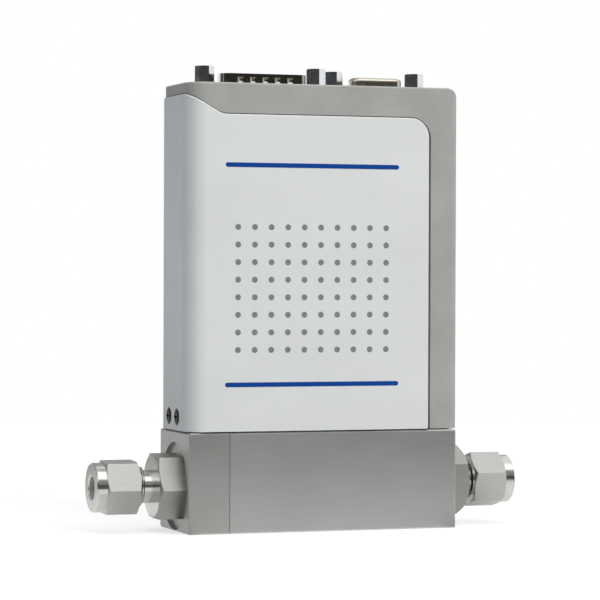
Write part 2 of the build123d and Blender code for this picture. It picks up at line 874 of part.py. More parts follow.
def plug_shell():
    top = housing_top + plug_shell_height
    shell = d_shell(plug_shell_width, plug_shell_depth, top, plug_flange_length, plug_hole_spacing)
    dent = pressed_dent(dimple_width, dimple_height)
    bulge = pressed_dent(dimple_width + 2 * d_shell_wall, dimple_height + 2 * d_shell_wall)
    for index in range(dimple_count):
        x = (index - (dimple_count - 1) / 2) * dimple_pitch
        for turn in (0, 180):
            face = Rot(0, 0, turn) * Pos(0, -plug_shell_depth / 2, housing_top + dimple_rise)
            shell += Pos(x, 0, 0) * face * Pos(0, d_shell_wall, 0) * bulge
            shell -= Pos(x, 0, 0) * face * dent
    return Pos(*plug_center) * shell


def socket_shell():
    top = housing_top + socket_shell_height
    outer = d_outline(socket_shell_width, socket_shell_depth, d_corner_radius)
    cup = Pos(0, 0, flange_bottom) * extrude(outer, top - flange_bottom)
    cup = fillet(cup.edges().group_by(Axis.Z)[-1], socket_rim_radius)
    inside = inset_outline(socket_shell_width, socket_shell_depth, d_shell_wall)
    room = Pos(0, 0, flange_bottom) * extrude(inside, top - d_shell_wall - flange_bottom)
    inner_radius = socket_rim_radius - d_shell_wall
    cup -= fillet(room.edges().group_by(Axis.Z)[-1], inner_radius)
    window = inset_outline(socket_shell_width, socket_shell_depth, socket_window_inset)
    cup -= Pos(0, 0, flange_bottom) * extrude(window, FAR)
    cup += d_flange(socket_flange_length, socket_hole_spacing, inside)
    return Pos(*socket_center) * cup


def d_insulator(width, depth, shoulder, face, inset, spacing, counts, hole_radius):
    """Plastic body: D-shaped nose in the shell and a block down to its board.

    The nose fills the shell up to its shoulder, and is inset from there to its face.
    """
    nose = inset_outline(width, depth, d_shell_wall + fit_clearance)
    body = Pos(0, 0, flange_bottom) * extrude(nose, shoulder - flange_bottom)
    tip = inset_outline(width, depth, inset + fit_clearance)
    body += Pos(0, 0, flange_bottom) * extrude(tip, face - flange_bottom)
    half_length = spacing / 2 - d_boss_radius - d_block_gap
    half_depth = d_flange_depth / 2 - d_block_inset
    body += box_between(
        -half_length, half_length, -half_depth, half_depth, connector_board_top, flange_bottom
    )
    for x, y in pin_places(counts):
        body -= Pos(x, y, 0) * post(hole_radius, connector_board_top - OVER, face + OVER)
    return body


def plug_insulator():
    face = flange_top + d_floor_height
    body = d_insulator(
        plug_shell_width, plug_shell_depth, face, face, d_shell_wall, plug_hole_spacing,
        plug_pin_counts, d_pin_radius + fit_clearance,
    )
    return Pos(*plug_center) * body


def socket_insulator():
    face = housing_top + socket_shell_height - socket_face_drop
    shoulder = housing_top + socket_shell_height - socket_rim_radius
    body = d_insulator(
        socket_shell_width, socket_shell_depth, shoulder, face, socket_window_inset,
        socket_hole_spacing, socket_pin_counts, d_socket_hole_radius,
    )
    return Pos(*socket_center) * body


def plug_pins():
    top = housing_top + plug_shell_height - plug_pin_drop
    pin = spun(
        (0, connector_board_top),
        (d_pin_radius, connector_board_top),
        (d_pin_radius, top - d_pin_radius),
        (d_pin_tip_radius, top),
        (0, top),
    )
    return [Pos(*plug_center) * Pos(x, y) * pin for x, y in pin_places(plug_pin_counts)]


def socket_contacts():
    face = housing_top + socket_shell_height - socket_face_drop
    top = face - socket_contact_drop
    outer = d_socket_hole_radius - fit_clearance
    contact = spun(
        (0, connector_board_top),
        (outer, connector_board_top),
        (outer, top),
        (d_pin_radius, top),
        (d_pin_radius, top - socket_contact_depth),
        (0, top - socket_contact_depth),
    )
    return [Pos(*socket_center) * Pos(x, y) * contact for x, y in pin_places(socket_pin_counts)]


def jack_screw(height, turn):
    """Hexagon standoff with a tapped hole above and a stud below."""
    top = housing_top + height
    corner = jack_hex_flats / sqrt(3)
    flats_turned = Plane.XY.offset(housing_top) * Rot(0, 0, -turn) * RegularPolygon(corner, 6)
    body = extrude(flats_turned, height)
    body &= spun(
        (0, housing_top), (corner, housing_top), (corner, top - jack_chamfer),
        (corner - 2 * jack_chamfer, top), (0, top),
    )
    body += post(jack_stud_radius, flange_bottom - d_boss_length, housing_top)
    return body - post(jack_thread_radius, top - jack_thread_depth, top + OVER)


def jack_pair(center, spacing, height, turns):
    """The standoffs at the two ends of a connector."""
    screws = []
    for side, turn in zip((-1, 1), turns):
        place = Pos(*center) * Pos(side * spacing / 2, 0, 0)
        screws.append(place * jack_screw(height, turn))
    return screws


def plug_jack_screws():
    return jack_pair(plug_center, plug_hole_spacing, plug_jack_height, plug_jack_turns)


def socket_jack_screws():
    return jack_pair(socket_center, socket_hole_spacing, socket_jack_height, socket_jack_turns)


# --------------------------------------------------------------- flow sensor
def sensor_base():
    """Flange on the block that holds the ends of the sensor tube."""
    outline = RectangleRounded(sensor_base_length, sensor_base_depth, sensor_base_depth / 4)
    base = Pos(0, 0, block_height) * extrude(outline, sensor_base_height)
    seal_seat = post(sensor_seal_radius + fit_clearance, 0, block_height + sensor_seal_height)
    tube_hole = post(sensor_tube_radius + fit_clearance, 0, FAR)
    base -= pair_along_x(seal_seat, 0, sensor_leg_spacing)
    base -= pair_along_x(tube_hole, 0, sensor_leg_spacing)
    screw_hole = post(small_screw_radius + screw_hole_clearance, 0, FAR)
    base -= pair_along_x(screw_hole, 0, sensor_screw_spacing)
    return Pos(sensor_x, 0, 0) * base


def sensor_seals():
    outer = sensor_seal_radius
    inner = sensor_port_radius
    z0 = block_height
    z1 = block_height + sensor_seal_height
    seal = spun((inner, z0), (outer, z0), (outer, z1), (inner, z1))
    return pair_along_x(seal, sensor_x, sensor_leg_spacing)


def sensor_tube():
    """Capillary bent into a bridge between its two ports."""
    half = sensor_leg_spacing / 2
    foot = block_height + sensor_seal_height
    crown = block_height + sensor_base_height + sensor_tube_height
    route = FilletPolyline(
        (-half, 0, foot), (-half, 0, crown), (half, 0, crown), (half, 0, foot), radius=sensor_bend_radius
    )
    circle = Plane(origin=(-half, 0, foot), z_dir=(0, 0, 1)) * Circle(sensor_tube_radius)
    return Pos(sensor_x, 0, 0) * sweep(circle, path=route)


def sensor_windings():
    """Two heater windings on the tube's level run."""
    crown = block_height + sensor_base_height + sensor_tube_height
    inner = sensor_tube_radius + fit_clearance
    half = winding_length / 2
    coil = turned((-half, inner), (half, inner), (half, winding_radius), (-half, winding_radius))
    return [Pos(0, 0, crown) * piece for piece in pair_along_x(coil, sensor_x, winding_spacing)]


def sensor_cover():
    """Drawn aluminium can over the sensor tube."""
    bottom = block_height + sensor_base_height
    outline = RectangleRounded(sensor_cover_length, sensor_base_depth, sensor_base_depth / 4)
    wall = sensor_cover_wall
    inside = RectangleRounded(
        sensor_cover_length - 2 * wall, sensor_base_depth - 2 * wall, sensor_base_depth / 4 - wall
    )
    can = extrude(outline, sensor_cover_height)
    can -= Pos(0, 0, -OVER) * extrude(inside, sensor_cover_height - wall + OVER)
    return Pos(sensor_x, 0, bottom) * can


def sensor_screws():
    top = block_height + sensor_base_height
    screw = Pos(0, 0, top) * small_screw(small_screw_grip + sensor_base_height)
    return pair_along_x(screw, sensor_x, sensor_screw_spacing)


# ------------------------------------------------------------- control valve
def valve_seat():
    """Pressed-in seat with the metering orifice."""
    bottom = seat_top - seat_height
    outer = seat_radius - fit_clearance
    seat = spun(
        (orifice_radius, bottom), (outer, bottom), (outer, chamber_floor),
        (seat_land_radius, seat_top), (orifice_radius, seat_top),
    )
    return Pos(valve_x, 0, 0) * seat


def valve_plunger():
    """Sliding armature; the only piece that moves."""
    recess_floor = plunger_top - plunger_recess_depth
    plunger = spun(
        (0, plunger_bottom), (plunger_face_radius, plunger_bottom),
        (plunger_radius, plunger_bottom + plunger_taper_length),
        (plunger_radius, plunger_top), (plunger_recess_radius, plunger_top),
        (plunger_recess_radius, recess_floor), (0, recess_floor),
    )
    return Pos(valve_x, 0, 0) * plunger


def valve_spring():
    """Return spring between the plunger's recess and the fixed pole."""
    bottom = plunger_top - plunger_recess_depth + spring_wire_radius + fit_clearance
    top = pole_bottom - spring_wire_radius - fit_clearance
    height = top - bottom
    coil = Helix(pitch=height / spring_turns, height=height, radius=spring_radius)
    wire = Plane(origin=coil @ 0, z_dir=coil % 0) * Circle(spring_wire_radius)
    return Pos(valve_x, 0, bottom) * sweep(wire, path=coil)


def valve_stem():
    """Guide tube with its flange, spigot, fixed pole and threaded post."""
    flange_z = block_height
    bottom = stem_spigot_bottom
    flange_end = flange_z + stem_flange_thickness
    post_top = coil_top + coil_nut_height + stem_post_end
    stem = spun(
        (stem_bore_radius, bottom), (spigot_radius, bottom), (spigot_radius, flange_z),
        (stem_flange_radius, flange_z),
        (stem_flange_radius, flange_end), (stem_outer_radius, flange_end), (stem_outer_radius, stem_top),
        (stem_post_radius, stem_top), (stem_post_radius, post_top), (0, post_top),
        (0, pole_bottom), (stem_bore_radius, pole_bottom),
    )
    hole = post(small_screw_radius + screw_hole_clearance, flange_z - OVER, flange_end + OVER)
    stem -= pair_along_x(hole, 0, stem_screw_spacing)
    return Pos(valve_x, 0, 0) * stem


def valve_seal():
    center_z = block_height - seal_counterbore_depth / 2
    ring = Torus((seal_counterbore_radius + spigot_radius) / 2, seal_wire_radius)
    return Pos(valve_x, 0, center_z) * ring


def stem_screws():
    top = block_height + stem_flange_thickness
    screw = Pos(0, 0, top) * small_screw(small_screw_grip + stem_flange_thickness)
    return pair_along_x(screw, valve_x, stem_screw_spacing)


def coil_bobbin():
    """Plastic reel that slides over the guide tube."""
    inner = stem_outer_radius + coil_gap
    core = inner + bobbin_wall
    rim = yoke_outer_radius - yoke_wall - coil_gap
    low = coil_bottom + yoke_wall
    high = coil_top - yoke_wall
    bobbin = spun(
        (inner, low), (rim, low), (rim, low + coil_flange), (core, low + coil_flange),
        (core, high - coil_flange), (rim, high - coil_flange), (rim, high), (inner, high),
    )
    return Pos(valve_x, 0, 0) * bobbin


def coil_winding():
    inner = stem_outer_radius + coil_gap + bobbin_wall + fit_clearance
    low = coil_bottom + yoke_wall + coil_flange + fit_clearance
    high = coil_top - yoke_wall - coil_flange - fit_clearance
    outer = winding_outer_radius
    return Pos(valve_x, 0, 0) * spun((inner, low), (outer, low), (outer, high), (inner, high))


def coil_yoke():
    """Steel can, open below, over the coil."""
    hole = stem_post_radius + coil_gap
    inner = yoke_outer_radius - yoke_wall
    roof = coil_top - yoke_wall
    low = coil_bottom + yoke_wall
    yoke = spun(
        (hole, roof), (inner, roof), (inner, low), (yoke_outer_radius, low),
        (yoke_outer_radius, coil_top), (hole, coil_top),
    )
    return Pos(valve_x, 0, 0) * yoke


def coil_washer():
    """Lower pole plate under the coil."""
    inner = stem_outer_radius + coil_gap
    outer = yoke_outer_radius
    z1 = coil_bottom + yoke_wall
    plate = spun((inner, coil_bottom), (outer, coil_bottom), (outer, z1), (inner, z1))
    return Pos(valve_x, 0, 0) * plate


def coil_nut():
    bore = stem_post_radius + fit_clearance
    nut = extrude(Plane.XY.offset(coil_top) * RegularPolygon(coil_nut_flats / sqrt(3), 6), coil_nut_height)
    return Pos(valve_x, 0, 0) * (nut - post(bore, coil_top - OVER, coil_top + coil_nut_height + OVER))


# ------------------------------------------------------------------- assembly
def fittings():
    """Both tube fittings, each a body, nut, two ferrules and an O-ring.

    The inlet's are turned end for end, so their turns change sign.
    """
    ends = (
        ("inlet", inlet_place, -inlet_body_turn, -inlet_nut_turn, inlet_nut_gap),
        ("outlet", outlet_place, outlet_body_turn, outlet_nut_turn, outlet_nut_gap),
    )
    pieces = {}
    for name, place, body_turn, nut_turn, gap in ends:
        pieces[name + "_fitting_body"] = place * fitting_body(body_turn)
        pieces[name + "_nut"] = place * fitting_nut(nut_turn, gap)
        pieces[name + "_front_ferrule"] = place * front_ferrule(gap)
        pieces[name + "_back_ferrule"] = place * back_ferrule(gap)
        pieces[name + "_o_ring"] = place * port_o_ring()
    return pieces


def all_pieces():
    pieces = {
        "base_block": base_block(),
        "inlet_adapter": inlet_adapter(),
        "flow_restrictor": flow_restrictor(),
    }
    pieces.update(fittings())
    pieces.update({
        "sensor_base": sensor_base(),
        "sensor_seals": sensor_seals(),
        "sensor_tube": sensor_tube(),
        "sensor_windings": sensor_windings(),
        "sensor_cover": sensor_cover(),
        "sensor_screws": sensor_screws(),
        "valve_seat": valve_seat(),
        "valve_plunger": valve_plunger(),
        "valve_spring": valve_spring(),
        "valve_stem": valve_stem(),
        "valve_seal": valve_seal(),
        "stem_screws": stem_screws(),
        "coil_bobbin": coil_bobbin(),
        "coil_winding": coil_winding(),
        "coil_yoke": coil_yoke(),
        "coil_washer": coil_washer(),
        "coil_nut": coil_nut(),
        "inlet_bracket": end_bracket(-1),
        "outlet_bracket": end_bracket(1),
        "bracket_screws": bracket_screws(),
        "main_board": main_board(),
        "board_screws": board_screws(),
        "board_chips": board_chips(),
        "board_header": board_header(),
        "connector_board": connector_board(),
        "plug_shell": plug_shell(),
        "plug_insulator": plug_insulator(),
        "plug_pins": plug_pins(),
        "plug_jack_screws": plug_jack_screws(),
        "socket_shell": socket_shell(),
        "socket_insulator": socket_insulator(),
        "socket_contacts": socket_contacts(),
        "socket_jack_screws": socket_jack_screws(),
        "top_shell": top_shell(),
        "wrap_cover": wrap_cover(),
        "cover_screws": cover_screws(),
    })
    return pieces


os.makedirs("parts", exist_ok=True)
for name, shape in all_pieces().items():
    group = Compound(children=shape) if isinstance(shape, list) else shape
    export_step(group, "parts/" + name + ".step")
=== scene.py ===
from math import cos, radians, sin
import bmesh
import bpy
from mathutils import Matrix, Vector


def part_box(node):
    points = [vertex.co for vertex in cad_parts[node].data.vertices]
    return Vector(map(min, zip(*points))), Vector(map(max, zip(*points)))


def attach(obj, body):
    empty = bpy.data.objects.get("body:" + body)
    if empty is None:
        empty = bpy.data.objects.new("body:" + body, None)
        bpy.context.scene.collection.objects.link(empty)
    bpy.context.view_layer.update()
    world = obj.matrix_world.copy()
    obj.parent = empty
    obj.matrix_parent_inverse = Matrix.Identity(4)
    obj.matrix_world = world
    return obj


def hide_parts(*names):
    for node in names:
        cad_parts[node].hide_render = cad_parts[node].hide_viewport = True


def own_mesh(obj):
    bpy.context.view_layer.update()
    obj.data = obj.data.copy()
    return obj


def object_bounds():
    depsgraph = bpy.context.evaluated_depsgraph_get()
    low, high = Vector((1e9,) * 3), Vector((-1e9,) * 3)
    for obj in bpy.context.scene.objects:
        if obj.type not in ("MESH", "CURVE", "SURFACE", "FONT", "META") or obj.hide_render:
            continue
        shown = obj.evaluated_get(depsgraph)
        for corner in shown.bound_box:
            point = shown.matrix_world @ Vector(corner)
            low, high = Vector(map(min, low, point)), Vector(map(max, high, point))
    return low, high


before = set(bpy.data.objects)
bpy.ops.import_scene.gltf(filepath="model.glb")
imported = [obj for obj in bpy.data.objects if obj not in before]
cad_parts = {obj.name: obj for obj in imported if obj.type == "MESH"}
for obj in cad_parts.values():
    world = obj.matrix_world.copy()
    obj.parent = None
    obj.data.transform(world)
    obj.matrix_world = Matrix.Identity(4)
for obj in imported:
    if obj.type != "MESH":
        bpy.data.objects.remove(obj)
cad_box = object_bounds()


# ------------------------------------------------------------ base block
# Bar of 316L stainless steel, milled to size and surface ground. The inlet adapter is a
# slice of the same bar, joined face to face, so its grain breaks at the seam. Grinding
# leaves fine lines along the bar and faint cloudy patches where the wheel dwelt.
MM = 0.001
BODY = "controller"
grind_line_pitch = 0.22 * MM
grind_line_length = 7 * MM
grind_line_depth = 0.0022 * MM
wheel_patch = 16 * MM
ground_dullness = (0.4, 0.46)
adapter_shift = 40 * MM
noise_span = (0.3, 0.7)
two_noise_span = (0.75, 1.25)


def colour(code):
    """Linear RGBA of an sRGB hex colour."""
    channels = [int(code[start:start + 2], 16) / 255 for start in (1, 3, 5)]
    return [c / 12.92 if c <= 0.04045 else ((c + 0.055) / 1.055) ** 2.4 for c in channels] + [1.0]


def node(tree, kind, inputs=None, **settings):
    """Add a node with its settings, and set or link its inputs.

    A node given as an input stands for the first output that its settings leave in use.
    """
    made = tree.nodes.new(kind)
    for name, value in settings.items():
        setattr(made, name, value)
    for name, value in (inputs or {}).items():
        if isinstance(value, bpy.types.Node):
            value = next(output for output in value.outputs if output.enabled)
        if isinstance(value, bpy.types.NodeSocket):
            tree.links.new(value, made.inputs[name])
        else:
            made.inputs[name].default_value = value
    return made


def blank_finish(name, **shader_values):
    """A material with one Principled shader; returns it with its tree, place and shader."""
    material = bpy.data.materials.new(name)
    material.use_nodes = True
    tree = material.node_tree
    tree.nodes.clear()
    place = node(tree, "ShaderNodeTexCoord").outputs["Object"]
    values = {key.replace("_", " "): value for key, value in shader_values.items()}
    shader = node(tree, "ShaderNodeBsdfPrincipled", values)
    node(tree, "ShaderNodeOutputMaterial", {"Surface": shader})
    return material, tree, place, shader


def grain(tree, place, lump, detail=3.0, roughness=0.55):
    """Noise whose lumps have the given size along X, Y and Z, in metres."""
    spread = node(
        tree, "ShaderNodeMapping", {"Vector": place, "Scale": [1 / side for side in lump]}
    )
    return node(
        tree, "ShaderNodeTexNoise",
        {"Vector": spread, "Scale": 1.0, "Detail": detail, "Roughness": roughness},
    )


def blend(tree, pattern, dark, light, span=noise_span):
    """Two colours mixed by a pattern, over the span of values that it mostly fills."""
    share = node(
        tree, "ShaderNodeMapRange",
        {"Value": pattern, "From Min": span[0], "From Max": span[1]},
    )
    return node(
        tree, "ShaderNodeMix",
        {"Factor": share, 6: colour(dark), 7: colour(light)}, data_type="RGBA",
    )


def shade(tree, shader, pattern, dark=None, light=None, dullness=None, depth=None,
          span=noise_span):
    """Let a pattern mix two colours, vary the roughness between two limits, and stand
    proud by a depth in metres: whichever of these are given."""
    if dark:
        mixed = blend(tree, pattern, dark, light, span)
        tree.links.new(mixed.outputs[2], shader.inputs["Base Color"])
    if dullness:
        rough = node(
            tree, "ShaderNodeMapRange",
            {"Value": pattern, "From Min": span[0], "From Max": span[1],
             "To Min": dullness[0], "To Max": dullness[1]},
        )
        tree.links.new(rough.outputs["Result"], shader.inputs["Roughness"])
    if depth:
        bump = node(
            tree, "ShaderNodeBump", {"Height": pattern, "Distance": depth, "Strength": 1.0}
        )
        tree.links.new(bump.outputs["Normal"], shader.inputs["Normal"])


def mottled(name, lump, dark, light, dullness=None, depth=None, detail=3.0, **shader_values):
    """A finish shaded by one noise, with lumps of the given size."""
    material, tree, place, shader = blank_finish(name, **shader_values)
    shade(tree, shader, grain(tree, place, lump, detail), dark, light, dullness, depth)
    return material


def dress(material, *names):
    """Give CAD nodes their finish."""
    for name in names:
        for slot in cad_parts[name].material_slots:
            slot.material = material


def ground_steel(name, light, dark, shift):
    """Surface-ground stainless steel; shift moves the pattern to another part of the bar."""
    material, tree, place, shader = blank_finish(name, Metallic=1.0, Anisotropic=0.35)
    moved = node(tree, "ShaderNodeMapping", {"Vector": place, "Location": (shift, 0, shift)})
    lines = grain(tree, moved, (grind_line_length, grind_line_pitch, grind_line_pitch), 4.0, 0.6)
    patches = grain(tree, moved, (wheel_patch * 2, wheel_patch, wheel_patch), 2.0)
    tone = node(tree, "ShaderNodeMath", {0: lines, 1: patches}, operation="ADD")
    shade(tree, shader, tone, dark, light, ground_dullness, span=two_noise_span)
    shade(tree, shader, lines, depth=grind_line_depth)
    return material


dress(ground_steel("ground_316L_block", "#C2C3C1", "#B9BAB8", 0.0), "base_block")
dress(ground_steel("ground_316L_adapter", "#BABAB8", "#B2B2AF", adapter_shift), "inlet_adapter")


# ------------------------------------------------------- tube end fittings
# Stainless compression fittings turned from drawn hexagon bar: a body screwed into the
# block's port, and a nut that drives two ferrules onto the tube. The tool leaves fine
# bright rings on every turned face, and the flats keep the bar's satin drawn skin.
tool_ring_pitch = 0.14 * MM
tool_ring_depth = 0.0016 * MM
draw_line_pitch = 0.25 * MM
draw_line_length = 6 * MM
polish_patch = 5 * MM
turned_tones = ("#D7D6D1", "#CBCAC5")
turned_roughness = 0.2
polish_softer = 0.015
polish_duller = 0.025
drawn_roughness = 0.41
flat_margin = 0.06 * MM
bore_edge = 3.4 * MM
bore_roughness = 0.62
nut_flats = 14.29 * MM
body_flats = 17.46 * MM
ferrule_low, ferrule_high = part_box("inlet_front_ferrule")
flow_axis_height = (ferrule_low.z + ferrule_high.z) / 2


def turned_steel(name, light, dark, roughness, axis_height, flats=None, flat_tones=None):
    """Stainless steel turned round an X axis; flat_tones colour a hexagon's flats."""
    material, tree, place, shader = blank_finish(name, Metallic=1.0)
    parts = node(tree, "ShaderNodeSeparateXYZ", {"Vector": place}).outputs
    across = node(tree, "ShaderNodeCombineXYZ", {"X": 0.0, "Y": parts["Y"], "Z": parts["Z"]})
    radius = node(
        tree, "ShaderNodeVectorMath", {0: across, 1: (0.0, 0.0, axis_height)},
        operation="DISTANCE",
    )
    feed = node(tree, "ShaderNodeMath", {0: parts["X"], 1: radius}, operation="ADD")
    along = node(tree, "ShaderNodeCombineXYZ", {"X": feed})
    rings = grain(tree, along, (tool_ring_pitch, 1.0, 1.0), 3.0, 0.7)
    patches = grain(tree, place, (polish_patch, polish_patch, polish_patch))
    skin = blend(tree, patches, dark, light)
    dullness = node(
        tree, "ShaderNodeMapRange",
        {"Value": patches, "From Min": noise_span[0], "From Max": noise_span[1],
         "To Min": roughness - polish_softer, "To Max": roughness + polish_duller},
    )
    if flats:
        edge = flats / 2 - flat_margin
        on_flat = node(tree, "ShaderNodeMath", {0: radius, 1: edge}, operation="GREATER_THAN")
        drawn = grain(tree, place, (draw_line_length, draw_line_pitch, draw_line_pitch))
        drawn_skin = blend(tree, drawn, *flat_tones)
        skin = node(
            tree, "ShaderNodeMix", {"Factor": on_flat, 6: skin, 7: drawn_skin}, data_type="RGBA"
        )
        dullness = node(
            tree, "ShaderNodeMapRange",
            {"Value": on_flat, "To Min": dullness, "To Max": drawn_roughness},
        )
    in_bore = node(tree, "ShaderNodeMath", {0: radius, 1: bore_edge}, operation="LESS_THAN")
    dullness = node(
        tree, "ShaderNodeMapRange",
        {"Value": in_bore, "To Min": dullness, "To Max": bore_roughness},
    )
    tree.links.new(skin.outputs[2], shader.inputs["Base Color"])
    tree.links.new(dullness.outputs["Result"], shader.inputs["Roughness"])
    shade(tree, shader, rings, depth=tool_ring_depth)
    return material


fitting_steel = turned_steel(
    "turned_316_fitting_body", *turned_tones, turned_roughness, flow_axis_height, body_flats,
    ("#B2B1AD", "#BAB9B5"),
)
nut_steel = turned_steel(
    "turned_316_nut", *turned_tones, turned_roughness, flow_axis_height, nut_flats,
    ("#BABAB6", "#C3C3BF"),
)
for end in ("inlet", "outlet"):
    dress(fitting_steel, end + "_fitting_body", end + "_front_ferrule", end + "_back_ferrule")
    dress(nut_steel, end + "_nut")


# Body thread: 7/16-20 UNF, cut with a pitch of 1.27 mm. Only the stretch of ridge that
# the gap between the body's neck and the nut shows is made. The outlet nut stands
# closer in and covers its body's thread, so that end has none.
body_thread_pitch = 1.27 * MM
body_thread_radius = 5.4 * MM
body_thread_ridge = 0.42 * MM
thread_steps = 64
neck_end = 9.9 * MM


def opened_tree(name, inputs):
    """A Geometry Nodes tree with named inputs; returns it with the sockets that they feed."""
    tree = bpy.data.node_groups.new(name, "GeometryNodeTree")
    for label, kind in inputs.items():
        tree.interface.new_socket(name=label, in_out="INPUT", socket_type="NodeSocket" + kind)
    tree.interface.new_socket(
        name="Geometry", in_out="OUTPUT", socket_type="NodeSocketGeometry"
    )
    return tree, node(tree, "NodeGroupInput").outputs


def close_tree(tree, geometry, finish):
    """End a tree with real geometry that carries its material."""
    solid = node(tree, "GeometryNodeRealizeInstances", {"Geometry": geometry})
    finished = node(tree, "GeometryNodeSetMaterial", {"Geometry": solid, "Material": finish})
    node(tree, "NodeGroupOutput", {"Geometry": finished})


def thread_tree():
    """Geometry Nodes tree of a thread's ridge, wound round the Z axis."""
    tree, given = opened_tree("thread_ridge", {
        "Radius": "Float", "Pitch": "Float", "Turns": "Float", "Ridge": "Float",
        "Steps": "Int", "Finish": "Material",
    })
    height = node(
        tree, "ShaderNodeMath", {0: given["Pitch"], 1: given["Turns"]}, operation="MULTIPLY"
    )
    helix = node(tree, "GeometryNodeCurveSpiral", {
        "Resolution": given["Steps"], "Rotations": given["Turns"],
        "Start Radius": given["Radius"], "End Radius": given["Radius"], "Height": height,
    })
    upright = node(tree, "GeometryNodeSetCurveNormal", {"Curve": helix}, mode="Z_UP")
    section = node(
        tree, "GeometryNodeCurvePrimitiveCircle", {"Resolution": 3, "Radius": given["Ridge"]},
        mode="RADIUS",
    )
    sweep = node(
        tree, "GeometryNodeCurveToMesh",
        {"Curve": upright, "Profile Curve": section, "Fill Caps": True},
    )
    close_tree(tree, sweep, given["Finish"])
    return tree


def grown(name, tree, values, turn_and_place, body):
    """Run a Geometry Nodes tree once, keep its mesh, and seat it on a body."""
    seed = bpy.data.objects.new(name + "_seed", bpy.data.meshes.new(name + "_seed"))
    bpy.context.collection.objects.link(seed)
    modifier = seed.modifiers.new("grow", "NODES")
    modifier.node_group = tree
    for item in tree.interface.items_tree:
        if item.in_out == "INPUT" and item.name in values:
            modifier[item.identifier] = values[item.name]
    seen = seed.evaluated_get(bpy.context.evaluated_depsgraph_get())
    mesh = bpy.data.meshes.new_from_object(seen)
    bpy.data.objects.remove(seed)
    mesh.name = name
    mesh.transform(turn_and_place)
    made = bpy.data.objects.new(name, mesh)
    bpy.context.collection.objects.link(made)
    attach(made, body)
    return made


thread = thread_tree()
port_x = {"inlet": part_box("inlet_adapter")[0].x, "outlet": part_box("base_block")[1].x}
for end, outward in (("inlet", -1), ("outlet", 1)):
    nut_low, nut_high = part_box(end + "_nut")
    nut_face = nut_high.x if outward < 0 else nut_low.x
    thread_start = port_x[end] + outward * (neck_end + body_thread_ridge)
    shown = (nut_face - thread_start) * outward
    if shown < body_thread_ridge:
        continue
    aim = Matrix.Rotation(radians(90 * outward), 4, "Y")
    grown(
        end + "_body_thread", thread,
        {"Radius": body_thread_radius, "Pitch": body_thread_pitch,
         "Turns": shown / body_thread_pitch, "Ridge": body_thread_ridge,
         "Steps": thread_steps, "Finish": fitting_steel},
        Matrix.Translation((thread_start, 0, flow_axis_height)) @ aim,
        BODY,
    )


# O-rings: black fluorocarbon rubber, moulded, one in each port's gland and round the
# sensor ports and the valve stem. Dull, with a faint bloom.
bloom_patch = 1.5 * MM
dress(
    mottled("moulded_fkm_rubber", (bloom_patch, bloom_patch, bloom_patch),
            "#141414", "#232322", (0.55, 0.75), Metallic=0.0),
    "inlet_o_ring", "outlet_o_ring", "sensor_seals", "valve_seal",
)


# ------------------------------------------------- flow path inside the block
# The restrictor is a fluted core that splits the flow; the sensor's capillary bridges
# it, and the valve beyond it meters the gas. All are turned stainless parts.
inner_steel = turned_steel("turned_316_inner", "#C4C3BE", "#A9A8A3", 0.3, flow_axis_height)
dress(inner_steel, "flow_restrictor", "sensor_base", "sensor_tube", "valve_seat", "valve_stem")
plunger_steel = turned_steel("turned_430F_plunger", "#B9B8B4", "#9C9B97", 0.34, flow_axis_height)
dress(plunger_steel, "valve_plunger")


# Return spring of the valve: four turns of 0.6 mm 302 stainless wire, wound cold and
# held between the plunger's recess and the fixed pole. It shortens as the plunger lifts.
wire_weld_gap = 0.001 * MM
wound = bmesh.new()
wound.from_mesh(bpy.data.objects["valve_spring"].data)
bmesh.ops.remove_doubles(wound, verts=wound.verts, dist=wire_weld_gap)
bmesh.ops.recalc_face_normals(wound, faces=wound.faces)
spring_mesh = bpy.data.meshes.new("return_spring")
wound.to_mesh(spring_mesh)
wound.free()
spring_mesh.materials.clear()
spring_mesh.materials.append(plunger_steel)
return_spring = bpy.data.objects.new("return_spring", spring_mesh)
bpy.context.collection.objects.link(return_spring)
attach(return_spring, BODY)
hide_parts("valve_spring")
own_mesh(return_spring)


# Zinc-plated steel: drawn brackets, screws, the coil's can, plate and nut. Clear
# passivate gives the plating a faint bluish spangle.
spangle = 0.8 * MM
dress(
    mottled("zinc_plated_steel", (spangle, spangle, spangle),
            "#9EA3A8", "#BCC0C2", (0.28, 0.42), detail=4.0, Metallic=1.0),
    "inlet_bracket", "outlet_bracket", "bracket_screws", "board_screws", "sensor_screws",
    "stem_screws", "coil_yoke", "coil_washer", "coil_nut",
)


# Enamelled copper wire: the sensor's two heater windings and the valve's coil. The
# lacquer deepens the copper, and the turns lie 0.3 mm apart.
wire_spacing = 0.3 * MM
wire_stretch = 6 * MM
wire_depth = 0.05 * MM
dress(
    mottled("enamelled_copper_wire", (wire_stretch, wire_stretch, wire_spacing),
            "#7E3A18", "#BE6E38", depth=wire_depth, detail=1.0, Metallic=1.0, Roughness=0.32),
    "sensor_windings", "coil_winding",
)


# Sensor can: deep-drawn aluminium, left bare. The punch leaves it satin, with fine
# drawing lines up its sides.
can_line_spacing = 0.3 * MM
can_line_length = 9 * MM
dress(
    mottled("drawn_aluminium_can", (can_line_spacing, can_line_spacing, can_line_length),
            "#A6A8A9", "#C2C4C5", (0.28, 0.4), Metallic=1.0),
    "sensor_cover",
)


